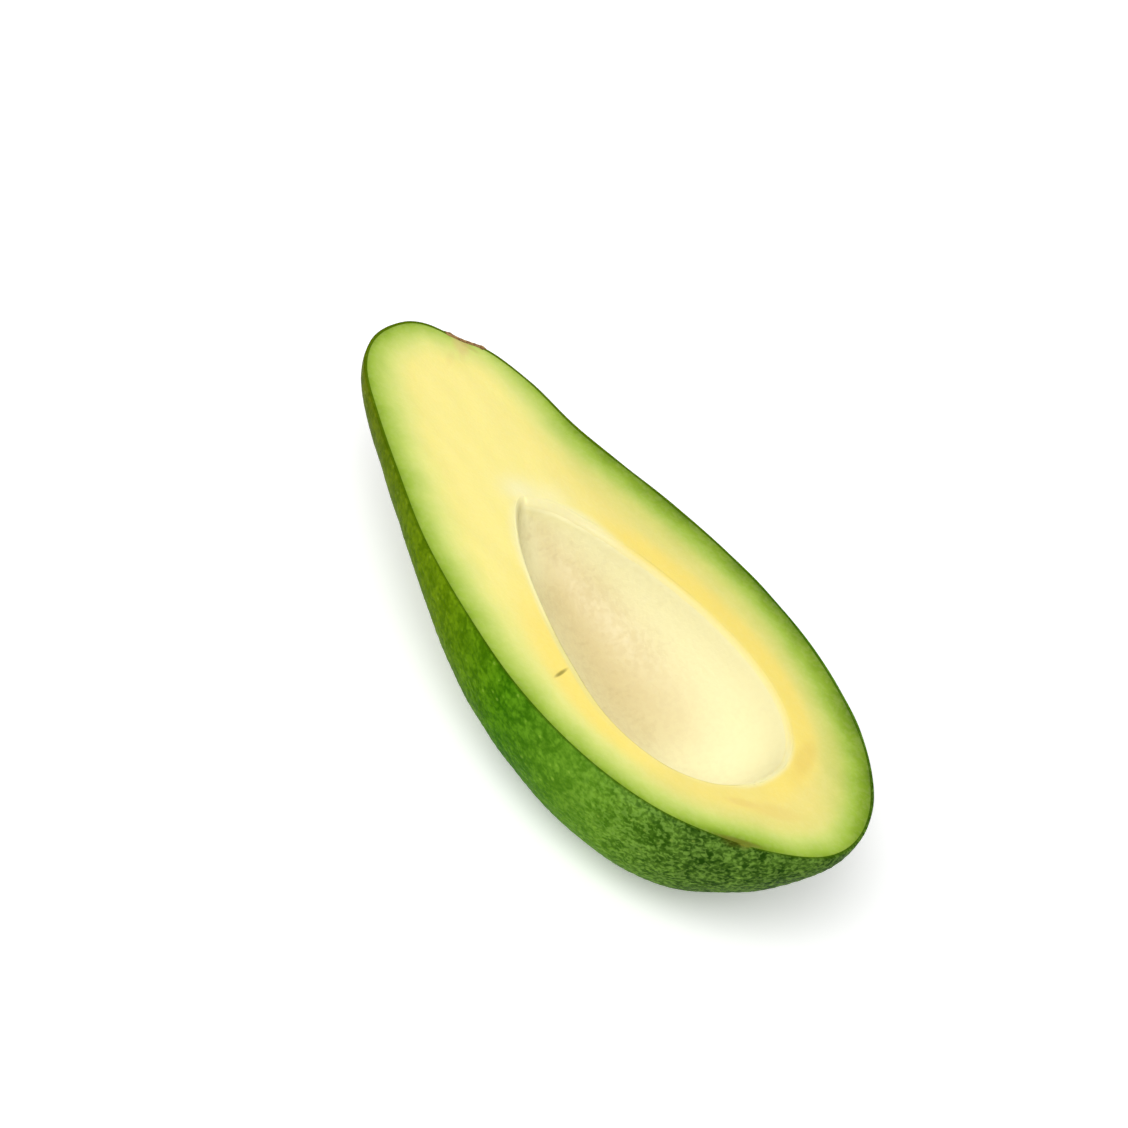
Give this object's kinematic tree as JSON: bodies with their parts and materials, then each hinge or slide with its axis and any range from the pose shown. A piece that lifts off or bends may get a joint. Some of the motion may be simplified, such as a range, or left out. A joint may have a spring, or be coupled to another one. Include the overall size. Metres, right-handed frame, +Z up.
{
  "type": "avocado half",
  "caption": "Halved avocado laid on its back with the cut face up: pear-shaped flesh in green skin, with the empty seat of the stone.",
  "frame": {"origin": "on the table surface, under the middle of the fruit's length and width", "axes": "+X from the stem end to the broad end, +Y across the fruit, +Z up out of the level cut face"},
  "size_m": [0.1324, 0.0658, 0.0294],
  "materials": {
    "flesh": "moist, soft, semi-matt flesh, pale yellow at the seat and green under the skin",
    "skin": "thin, satin, finely pebbled green skin with pale specks",
    "seat_lining": "smooth, matt cream seat with tan films of seed coat",
    "stem_scar": "dry, corky, brown"
  },
  "bodies": {
    "root": {"avocado_half": "flesh"}
  },
  "joints": []
}
